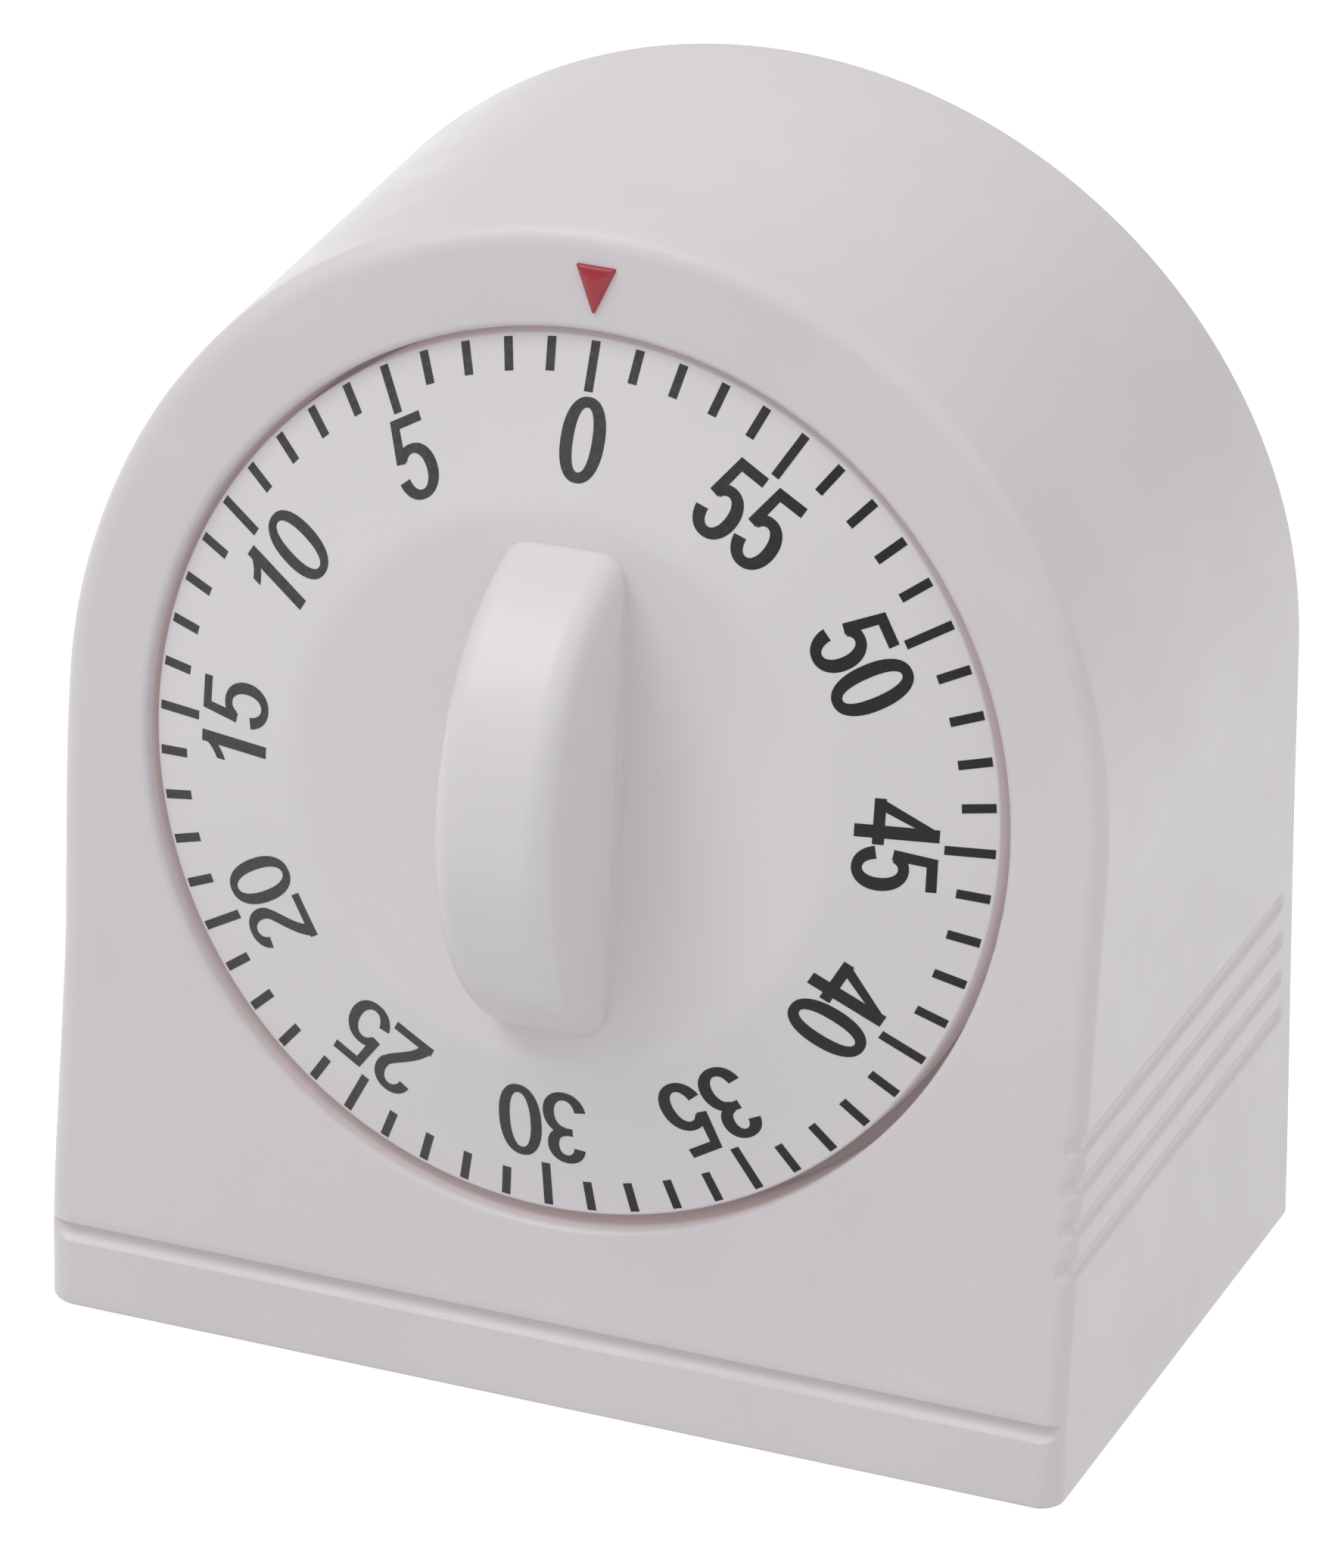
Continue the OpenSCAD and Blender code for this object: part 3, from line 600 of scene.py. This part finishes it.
def opening_loops(edge_points):
    """Closed rows from the upper face's outer edge to the opening, over its lip, down the well and behind it.

    Also returns the number of the first row that belongs to the well."""
    edge_uv = [face_uv(p, FACE_W) for p in edge_points]
    angles = [math.atan2(v, u) for u, v in edge_uv]
    lip_r = APERTURE_R + OPENING_EDGE
    loops = []
    for share in (0.35, 0.7):
        row = []
        for (u, v), a in zip(edge_uv, angles):
            lip_u, lip_v = APERTURE_AT[0] + lip_r * math.cos(a), APERTURE_AT[1] + lip_r * math.sin(a)
            row.append((lerp(u, lip_u, share), lerp(v, lip_v, share), FACE_W))
        loops.append(row)
    lip = [(lip_r, FACE_W)]
    for k in range(1, 8):
        b = math.radians(90 * k / 7)
        lip.append((lip_r - OPENING_EDGE * math.sin(b), FACE_W - OPENING_EDGE * (1 - math.cos(b))))
    well = [(APERTURE_R, -1.6), (APERTURE_R, -4.0), (APERTURE_R, WELL_W)]
    floor_and_cup = [(20.0, WELL_W), (WELL_BORE_R, WELL_W), (WELL_BORE_R, CUP_W), (20.0, CUP_W),
                     (CUP_R, CUP_W), (CUP_R, -5.0), (CUP_R, FACE_W - FRONT_WALL)]
    for (cu, cv), rings in ((APERTURE_AT, lip + well), ((0, 0), floor_and_cup)):
        loops += [[(cu + r * math.cos(a), cv + r * math.sin(a), w) for a in angles] for r, w in rings]
    return loops, 2 + len(lip)


def case_skin():
    """The shell as one closed surface. Returns its vertices, faces and each face's material number."""
    outline = case_outline()
    sections = [section(sample) for sample in outline]
    count, depth = len(sections), len(sections[0])
    verts = [p for points in sections for p in points]
    columns = [list(range(i * depth, (i + 1) * depth)) for i in range(count)]
    outer = []
    for a, b in zip(columns, columns[1:] + columns[:1]):
        outer += strip_faces(a, b)

    rows, (left_i, right_i) = lower_face_rows(verts, outline, depth)
    for a, b in zip(rows, rows[1:]):
        outer += strip_faces(a, b)

    ring = [i * depth for i in range(right_i, left_i)] + rows[-1][:-1]
    loops, glow_from = opening_loops([verts[i] for i in ring])
    # rows from the well's first row on take the material with the painted glow
    glow_faces = []
    for number, loop in enumerate(loops):
        here = list(range(len(verts), len(verts) + len(loop)))
        verts += [leaning(*p) for p in loop]
        faces = glow_faces if number >= glow_from else outer
        faces += loop_faces(ring, here)
        ring = here

    # flat inside of the front wall, between the cup of the well and the inner wall
    inner_loop = [column[-1] for column in columns]
    numbers = inner_loop + ring
    flat = []
    for group in (inner_loop, ring):
        flat.append([Vector((*face_uv(verts[i], FACE_W - FRONT_WALL), 0.0)) for i in group])
    outer += [[numbers[k] for k in tri] for tri in geometry.tessellate_polygon(flat)]
    return verts, outer + glow_faces, [0] * len(outer) + [1] * len(glow_faces)


# the back cover's screw bosses, as x on either side, z and front end; and the movement's, as (u, v)
COVER_BOSSES = ((31.0, 8.2, -5.8), (22.0, 71.8, 12.5))
BOSS_R, BOSS_BACK = 3.2, 36.6
BOSS_BORE_R, BOSS_BORE_END = 1.52, 23.4
MOVEMENT_BOSSES = ((-24, 6), (24.5, 8.5), (-17, -26.5))


def case_bosses():
    """Screw bosses inside the shell, each a turned solid of its own."""
    bosses = []
    for x, z, front in COVER_BOSSES:
        profile = [(0, front), (BOSS_R, front), (BOSS_R, BOSS_BACK - 0.3), (BOSS_R - 0.3, BOSS_BACK),
                   (BOSS_BORE_R, BOSS_BACK), (BOSS_BORE_R, BOSS_BORE_END), (0, BOSS_BORE_END)]
        for side in (-1, 1):
            bosses.append(lathe(profile, along_y(side * x, z)))
    for u, v in MOVEMENT_BOSSES:
        profile = [(1.22, -8.9), (2.8, -8.9), (2.8, -10.4), (2.6, -10.6), (1.22, -10.6)]
        bosses.append(lathe(profile, along_w(u, v)))
    return join(bosses)


skin_verts, skin_faces, skin_slots = case_skin()
case = mesh_object("case_body", skin_verts, skin_faces, [WHITE_CASE, WELL_PAINTED_GLOW], 30.0, skin_slots)
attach(case, "case")
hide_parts("case_shell")
bosses = mesh_object("case_bosses", *case_bosses(), [WHITE_CASE], 30.0)
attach(bosses, "case")


# ------------------------------------------------------------------ the dial
DIAL_EDGE_R = 0.25
SKIRT_R, SKIRT_W = 30.0, -5.0
HUB_R, HUB_W = 4.6, -6.3
GRIP_HALF, CREST_R, CREST_W = 17.47, 18.8, 15.18
GRIP_FOOT_W, GRIP_FOOT_HALF = -0.4, 4.56
GRIP_TAPER = 0.13 / 15.2
GRIP_END_R = 1.2
GRIP_EDGE_R = 1.9
GRIP_TURN = math.radians(1.25)
BORE_R, BORE_FLAT = 2.53, 1.83


def ring_height(r):
    """Height of the dial's face: the lower of cone and dish, with a soft change between them."""
    cone = CONE_SLOPE * (MARK_R - r)
    dish = DISH_W - DISH_DEPTH + DISH_DEPTH * (r / DISH_R) ** 2
    h = min(max(0.5 + 0.5 * (dish - cone) / DISH_BLEND, 0.0), 1.0)
    return lerp(dish, cone, h) - DISH_BLEND * h * (1 - h)


EDGE_W = ring_height(DIAL_R)


def dial_body():
    """Ring, dish, skirt and hub, turned in one piece; the rows are closer where the dish begins."""
    profile = [(0.0, ring_height(0.0))]
    r = 0.0
    while r < DIAL_R - 0.45:
        r += 0.22 if 18.0 < r < 22.0 else 0.9
        if r < DIAL_R - 0.4:
            profile.append((r, ring_height(r)))
    for k in range(6):
        b = math.radians(90 * k / 5)
        profile.append((DIAL_R - DIAL_EDGE_R * (1 - math.sin(b)), EDGE_W - 0.18 + DIAL_EDGE_R * math.cos(b)))
    profile += [(DIAL_R, -2.0), (DIAL_R, SKIRT_W + 0.2), (DIAL_R - 0.2, SKIRT_W)]
    profile += [(SKIRT_R + 0.2, SKIRT_W), (SKIRT_R, SKIRT_W + 0.2), (SKIRT_R, -1.6), (21.0, 0.2), (8.0, 0.35)]
    profile += [(HUB_R, 0.35), (HUB_R, HUB_W + 0.2), (HUB_R - 0.2, HUB_W), (0.0, HUB_W)]
    return lathe(profile, leaning, 200, close=False)


def grip_outline():
    """Side view of the bar: (v, w) and its outward normal, up one end, over the crest and down the other."""
    end_angle = math.asin((GRIP_HALF - GRIP_END_R) / (CREST_R - GRIP_END_R))
    arc_w = CREST_W - CREST_R
    end_v = (CREST_R - GRIP_END_R) * math.sin(end_angle)
    end_w = arc_w + (CREST_R - GRIP_END_R) * math.cos(end_angle)
    half = [(GRIP_HALF, w, 1.0, 0.0) for w in (GRIP_FOOT_W, 0.8, 1.8, 2.6, 3.2) if w < end_w]
    for k in range(7):
        b = lerp(0.0, math.pi / 2 - end_angle, k / 6)
        c, s = math.cos(b), math.sin(b)
        half.append((end_v + GRIP_END_R * c, end_w + GRIP_END_R * s, c, s))
    for k in range(1, 45):
        a = lerp(end_angle, 0.0, k / 44)
        c, s = math.cos(a), math.sin(a)
        half.append((CREST_R * s, arc_w + CREST_R * c, s, c))
    return half + [(-v, w, -nv, nw) for v, w, nv, nw in half[-2::-1]]


def grip_bar():
    """The D-shaped bar with rounded crest edges, standing in the dish."""
    verts, faces, strips = [], [], []
    turn_c, turn_s = math.cos(GRIP_TURN), math.sin(GRIP_TURN)
    for v, w, nv, nw in grip_outline():
        half_thick = GRIP_FOOT_HALF - GRIP_TAPER * w
        right = []
        for k in range(11):
            b = math.radians(90 * k / 10)
            inset = GRIP_EDGE_R * (1 - math.sin(b))
            right.append((half_thick - GRIP_EDGE_R * (1 - math.cos(b)), v - nv * inset, w - nw * inset))
        crown = [((half_thick - GRIP_EDGE_R) * (1 - k / 3), v, w) for k in range(1, 6)]
        strip = []
        for across, along, out in right + crown + [(-a, b, c) for a, b, c in reversed(right)]:
            strip.append(len(verts))
            verts.append(leaning(across * turn_c - along * turn_s, across * turn_s + along * turn_c, out))
        strips.append(strip)
    for a, b in zip(strips, strips[1:]):
        faces += strip_faces(a, b)

    # the two flanks are filled by rows from one end of the bar to the other
    feet = []
    middle = len(strips) // 2
    for flank in (0, -1):
        rows = []
        for near, far in zip(strips[:middle], strips[::-1]):
            a, b = near[flank], far[flank]
            row = [a]
            for c in range(1, 8):
                row.append(len(verts))
                verts.append(tuple(lerp(p, q, c / 8) for p, q in zip(verts[a], verts[b])))
            rows.append(row + [b])
        for a, b in zip(rows, rows[1:]):
            faces += strip_faces(a, b)
        tip = strips[middle][flank]
        faces += [[a, b, tip] for a, b in zip(rows[-1], rows[-1][1:])]
        feet.append(rows[0])
    faces.append(strips[0] + feet[1][1:] + strips[-1][-2::-1] + feet[0][-2:0:-1])
    return verts, faces


def bore_cutter(steps=40):
    """The D-shaped hole for the arbor."""
    ring = []
    for k in range(steps):
        a = 2 * math.pi * k / steps
        ring.append((BORE_R * math.cos(a), min(BORE_R * math.sin(a), BORE_FLAT)))
    verts = [leaning(u, v, w) for w in (-8.0, 5.0) for u, v in ring]
    low, high = list(range(steps)), list(range(steps, 2 * steps))
    return verts, [low, high] + loop_faces(low, high)


dial = mesh_object("dial_knob", *dial_body(), [WHITE_DIAL])
boolean(dial, mesh_object("grip_bar", *grip_bar(), [WHITE_DIAL]), "UNION")
boolean(dial, mesh_object("bore", *bore_cutter(), [WHITE_DIAL]), "DIFFERENCE")
finish_mesh(dial, 28.0)
dial.data.materials.append(DIAL_EDGE_PAINTED_GLOW)
# the dial's side wall below its rim takes the material with the painted glow
for poly in dial.data.polygons:
    x, y, z = (c / MM for c in poly.center)
    v, w = y * SL + (z - DIAL_Z) * CL, (z - DIAL_Z) * SL - y * CL
    if math.hypot(x, v) > DIAL_R - 0.1 and w < EDGE_W - 0.3:
        poly.material_index = 1
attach(dial, "dial")
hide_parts("dial")

# ------------------------------------------------------------------ printed marks
CELL, TALL = 3.38, 5.66
MID = CELL / 2
SIDE_STROKE, FLAT_STROKE = 0.80, 0.61
NUMBER_FOOT = 22.09
PRINT_TURN = math.radians(0.47)
MARK_HALF = 0.325
MARK_IN, FIVE_MARK_IN = 29.22, 28.11
PRINT_LIFT, PRINT_SINK = 0.022, 0.06


def arc_strip(cx, cy, ax, ay, a0, a1, power, steps, side, level):
    """Quads of a bent stroke whose thickness changes from the sides to the top."""
    quads, last = [], None
    for k in range(steps + 1):
        a = math.radians(lerp(a0, a1, k / steps))
        c, s = math.cos(a), math.sin(a)
        pc = math.copysign(abs(c) ** (2 / power), c)
        ps = math.copysign(abs(s) ** (2 / power), s)
        pair = ((cx + ax * pc, cy + ay * ps), (cx + (ax - side) * pc, cy + (ay - level) * ps))
        if last:
            quads.append([last[0], pair[0], pair[1], last[1]])
        last = pair
    return quads


def box2(x0, y0, x1, y1):
    """An upright rectangle from two opposite corners."""
    return [(x0, y0), (x1, y0), (x1, y1), (x0, y1)]


def bezier(p, q, r, s, t):
    """The point of a cubic curve at t."""
    u = 1 - t
    weights = (u ** 3, 3 * u * u * t, 3 * u * t * t, t ** 3)
    return tuple(sum(k * c for k, c in zip(weights, axis)) for axis in zip(p, q, r, s))


def between(edge_a, edge_b, steps=14):
    """Quads between two cubic edges."""
    points_a = [bezier(*edge_a, k / steps) for k in range(steps + 1)]
    points_b = [bezier(*edge_b, k / steps) for k in range(steps + 1)]
    return strip_faces(points_a, points_b)


def digit_shapes(bold):
    """The digits as overlapping flat shapes; `bold` thickens the strokes inwards and sideways."""
    e = 0.5 * SIDE_STROKE * (bold - 1)
    side, level = SIDE_STROKE * bold, FLAT_STROKE * bold

    def arc(*args, steps=40):
        return arc_strip(*args, steps, side, level)

    return {
        "0": arc(MID, TALL / 2, 1.63, TALL / 2 + 0.04, 0, 360, 2.25, steps=72),
        "1": [box2(1.62 - e, 0, 2.44 + e, TALL)]
             + between(((0.62, 4.30), (1.10, 4.52), (1.66, 5.02), (1.86, TALL)),
                       ((0.62, 3.58), (1.00, 3.72), (1.42, 4.02), (1.70, 4.36))),
        "2": [box2(0.06, 0, CELL - 0.06, 0.68)] + arc(1.72, 4.14, 1.50, 1.56, 172, -32, 2.1)
             + between(((2.99, 3.34), (2.62, 2.52), (1.42, 1.72), (1.06, 0.60)),
                       ((2.33, 3.66), (1.98, 3.02), (0.32, 1.70), (0.06, 0.22))),
        "3": [box2(1.10, 2.86 - e, 1.66, 3.42 + e)] + arc(1.62, 4.28, 1.42, 1.42, 172, -90, 2.1)
             + arc(1.64, 1.68, 1.62, 1.74, 90, -170, 2.1),
        "4": [box2(2.02 - e, 0, 2.80 + e, TALL), box2(0.04, 1.30 - e, CELL - 0.04, 1.94 + e),
              [(0.04, 1.70), (0.78 + e, 1.70), (2.10, 4.42 - e), (2.14, TALL)]],
        "5": [box2(0.74, TALL - 0.66 - e, 3.10, TALL),
              [(0.70, TALL), (1.32 + e, TALL), (0.93 + e, 2.62), (0.24, 2.74)]]
             + arc(1.66, 1.86, 1.63, 1.92, 139, -168, 2.1),
    }


def print_piece(name, shapes):
    """Thin printed solid on the cone, from overlapping flat shapes in the (right, up) plane of the dial."""
    points, polys = [], []
    for shape in shapes:
        area = sum(a[0] * b[1] - b[0] * a[1] for a, b in zip(shape, shape[1:] + shape[:1]))
        start = len(points)
        points += [Vector(p) for p in (shape if area > 0 else shape[::-1])]
        polys.append(list(range(start, len(points))))
    flat, _, triangles, _, _, owners = geometry.delaunay_2d_cdt(points, [], polys, 1, 1e-5)
    triangles = [list(t) for t, owner in zip(triangles, owners) if len(owner)]
    verts = []
    for up in (PRINT_LIFT, -PRINT_SINK):
        verts += [leaning(p[0], p[1], ring_height(math.hypot(p[0], p[1])) + up) for p in flat]
    n = len(flat)
    faces = triangles + [[i + n for i in reversed(t)] for t in triangles]
    edges = {(a, b): None for t in triangles for a, b in zip(t, t[1:] + t[:1])}
    faces += [[a + n, b + n, b, a] for a, b in edges if (b, a) not in edges]
    piece = mesh_object(name, verts, faces, [INK], 30.0)
    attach(piece, "dial")


def on_dial(minute, x, r):
    """A point x to the right of a minute's radius, at height r along it."""
    a = math.radians(6 * minute) + PRINT_TURN
    return (x * math.cos(a) - r * math.sin(a), x * math.sin(a) + r * math.cos(a))


def minute_mark(minute):
    """One mark, cut into four quads so that it follows the cone."""
    inner = FIVE_MARK_IN if minute % 5 == 0 else MARK_IN
    radii = [lerp(inner, MARK_R, k / 4) for k in range(5)]
    quads = []
    for r0, r1 in zip(radii, radii[1:]):
        corners = ((-MARK_HALF, r0), (MARK_HALF, r0), (MARK_HALF, r1), (-MARK_HALF, r1))
        quads.append([on_dial(minute, x, r) for x, r in corners])
    return quads


def number_shapes(minute):
    """A number's shapes; those on the dial's right are printed bolder."""
    label = str(minute)
    shift = 0.16 if len(label) == 1 else 0.05
    to_left = math.sin(math.radians(6 * minute - 20))
    drawn = digit_shapes(1.03 + 0.15 * smooth01(0.5 - 0.9 * to_left))
    shapes = []
    for k, digit in enumerate(label):
        left = CELL * (k - len(label) / 2) + shift
        shapes += [[on_dial(minute, left + x, NUMBER_FOOT + y) for x, y in shape] for shape in drawn[digit]]
    return shapes


print_piece("minute_marks", [quad for minute in range(60) for quad in minute_mark(minute)])
for minute in range(0, 60, 5):
    print_piece("number_%02d" % minute, number_shapes(minute))

# ------------------------------------------------------------------ the red pointer
POINTER_CORNERS = [Vector(p) for p in ((-1.76, 37.0), (1.24, 37.0), (-0.26, 33.5))]
POINTER_CENTRE = Vector((-0.26, 35.88))
POINTER_R = 0.10
# the pointer's soft top, as (scale about its centre, height over the face)
POINTER_LAYERS = [(1.0, -0.32), (1.0, 0.10), (0.985, 0.18), (0.93, 0.27), (0.80, 0.35), (0.60, 0.41),
                  (0.35, 0.45), (0.12, 0.465)]
POINTER_TOP = 0.47


def rounded_triangle(scale, steps=6):
    """The pointer's outline with round corners, scaled about its centre."""
    points = []
    for i, corner in enumerate(POINTER_CORNERS):
        to_last = (POINTER_CORNERS[i - 1] - corner).normalized()
        to_next = (POINTER_CORNERS[(i + 1) % 3] - corner).normalized()
        half_angle = to_last.angle(to_next) / 2
        reach = POINTER_R / math.tan(half_angle)
        arc_centre = corner + (to_last + to_next).normalized() * (POINTER_R / math.sin(half_angle))
        start, end = corner + to_last * reach - arc_centre, corner + to_next * reach - arc_centre
        for k in range(steps + 1):
            p = arc_centre + start.lerp(end, k / steps).normalized() * POINTER_R
            points.append(POINTER_CENTRE + (p - POINTER_CENTRE) * scale)
    return points


def pointer_solid():
    """The triangle stacked up in layers that end in a blunt tip."""
    verts, loops = [], []
    for scale, up in POINTER_LAYERS:
        points = rounded_triangle(scale)
        loops.append(list(range(len(verts), len(verts) + len(points))))
        verts += [leaning(u, v, FACE_W + up) for u, v in points]
    faces = [loops[0]]
    for a, b in zip(loops, loops[1:]):
        faces += loop_faces(a, b)
    tip = len(verts)
    verts.append(leaning(*POINTER_CENTRE, FACE_W + POINTER_TOP))
    faces += [[a, b, tip] for a, b in zip(loops[-1], loops[-1][1:] + loops[-1][:1])]
    return verts, faces


pointer = mesh_object("pointer_mark", *pointer_solid(), [RED], 50.0)
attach(pointer, "case")
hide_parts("pointer")

# ------------------------------------------------------------------ carried-over CAD pieces
LOOKS = {
    "back_cover": WHITE_COVER, "case_screws": STEEL, "dial_washer": BRASS_TURNED, "main_arbor": STEEL,
    "ratchet_wheel": BRASS, "strike_cam": STEEL_SHEET, "mainspring": SPRING_BLUE, "spring_post": STEEL,
    "great_wheel": BRASS, "click": STEEL_SHEET, "second_arbor": STEEL, "second_wheel": BRASS,
    "third_arbor": STEEL, "third_wheel": BRASS, "escape_arbor": STEEL, "escape_wheel": BRASS,
    "verge": STEEL_SHEET, "verge_arbor": STEEL, "front_plate": BRASS, "back_plate": BRASS,
    "pillars": BRASS_TURNED, "pillar_nuts": STEEL, "movement_screws": STEEL, "hammer_arbor": STEEL,
    "hammer_arm": STEEL_SHEET, "hammer_tail": STEEL_SHEET, "hammer_spring": SPRING_BLUE, "bell": NICKEL,
    "bell_post": BRASS_TURNED, "bell_screw": STEEL, "case_shell": WHITE_CASE, "dial": WHITE_DIAL,
    "pointer": RED,
}
for name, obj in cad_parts.items():
    if not obj.material_slots:
        obj.data.materials.append(LOOKS[name])
    for s in obj.material_slots:
        s.material = LOOKS[name]

# ------------------------------------------------------------------ floor, light and camera
bpy.ops.mesh.primitive_plane_add(size=8.0, location=(0, 0, 0))
floor = bpy.context.object
floor.name = "floor"
fm, nt, bsdf, coord = new_material("floor_look")
soft = noise(nt, coord.outputs["Object"], 3.0, 2.0)
nt.links.new(mix_colour(nt, soft, (0.90, 0.90, 0.90), (0.92, 0.92, 0.92)), bsdf.inputs["Base Color"])
bsdf.inputs["Roughness"].default_value = 0.9
bsdf.inputs["Specular IOR Level"].default_value = 0.1
bsdf.inputs["Emission Color"].default_value = (1, 1, 1, 1)
bsdf.inputs["Emission Strength"].default_value = 0.55
floor.data.materials.append(fm)
floor.visible_diffuse = False

scene = bpy.context.scene
world = bpy.data.worlds.new("studio")
scene.world = world
world.use_nodes = True
# a white studio tent: brighter overhead than underneath
sky = world.node_tree
sky.nodes["Background"].inputs["Color"].default_value = (1.0, 1.0, 1.0, 1.0)
sky_way = sky.nodes.new("ShaderNodeSeparateXYZ")
sky.links.new(sky.nodes.new("ShaderNodeTexCoord").outputs["Generated"], sky_way.inputs["Vector"])
sky_strength = remap(sky, sky_way.outputs["Z"], -1.0, 1.0, 0.535, 0.69)
sky.links.new(sky_strength, sky.nodes["Background"].inputs["Strength"])


def area_light(name, place, target, size, watts):
    data = bpy.data.lights.new(name, "AREA")
    data.shape = "DISK"
    data.size = size
    data.energy = watts
    lamp = bpy.data.objects.new(name, data)
    lamp.location = place
    lamp.rotation_euler = (Vector(target) - Vector(place)).to_track_quat("-Z", "Y").to_euler()
    scene.collection.objects.link(lamp)


area_light("key_light", (-0.68, -0.50, 1.42), (0, 0, 0.04), 1.0, 6.5)
area_light("right_light", (1.15, -0.35, 1.10), (0, 0, 0.04), 1.3, 0.95)

camera_data = bpy.data.cameras.new("camera")
camera_data.sensor_fit = "AUTO"
camera_data.sensor_width = 36.0
camera_data.lens = 243.8
camera_data.clip_start = 0.05
camera = bpy.data.objects.new("camera", camera_data)
camera.location = (0.26216, -0.60405, 0.37607)
camera.rotation_euler = (math.radians(90 - 26.67), 0.0, math.radians(22.86))
scene.collection.objects.link(camera)
scene.camera = camera
scene.view_settings.view_transform = "Standard"
